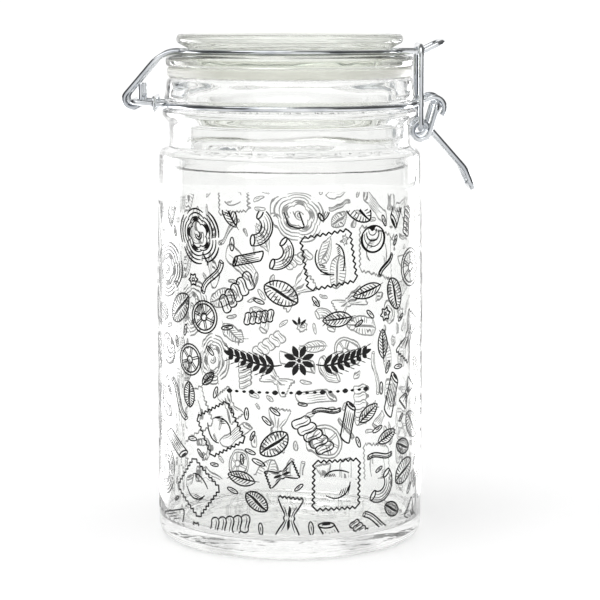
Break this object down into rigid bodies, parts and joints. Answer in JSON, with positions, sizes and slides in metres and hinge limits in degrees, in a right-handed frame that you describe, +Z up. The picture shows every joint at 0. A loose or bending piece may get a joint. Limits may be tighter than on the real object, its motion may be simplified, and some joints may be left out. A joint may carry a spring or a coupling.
{
  "type": "clip-top storage canister",
  "caption": "Tall glass storage canister with a hinged glass lid, a soft seal and an over-centre wire clip.",
  "frame": {"origin": "centre of the flat ring that the jar stands on, on the jar's axis", "axes": "+Z up along the jar's axis, +X towards the latch, -X towards the hinge, -Y the side in view with the latch on the right"},
  "size_m": [0.1375, 0.105, 0.1984],
  "materials": {
    "jar_glass": "clear pressed soda-lime glass with black enamel line print",
    "lid_glass": "clear pressed soda-lime glass",
    "seal": "pale translucent silicone",
    "wire": "drawn spring-steel wire, bright zinc plated"
  },
  "bodies": {
    "jar": {"jar_body": "jar_glass", "neck_band": "wire", "band_tie": "wire"},
    "lid": {"lid": "lid_glass", "gasket": "seal", "lid_bail": "wire"},
    "lever": {"latch_lever": "wire"},
    "link": {"latch_link": "wire"}
  },
  "joints": [
    {"name": "lid_hinge", "type": "hinge", "parent": "jar", "child": "lid", "pos_m": [-0.061, 0, 0.17225], "axis": [0, -1, 0], "range_deg": [0, 228], "deforming": ["latch_link"]},
    {"name": "lever_swing", "type": "hinge", "parent": "jar", "child": "lever", "pos_m": [0.0571, 0, 0.1713], "axis": [0, -1, 0], "range_deg": [0, 110], "deforming": ["latch_link"]},
    {"name": "link_swing", "type": "hinge", "parent": "lever", "child": "link", "pos_m": [0.0506, 0, 0.1621], "axis": [0, -1, 0], "range_deg": [-135, 0], "deforming": ["latch_link"]}
  ],
  "couplings": [
    {"joint": "link_swing", "follows": "lever_swing", "ratio": -1.22}
  ]
}
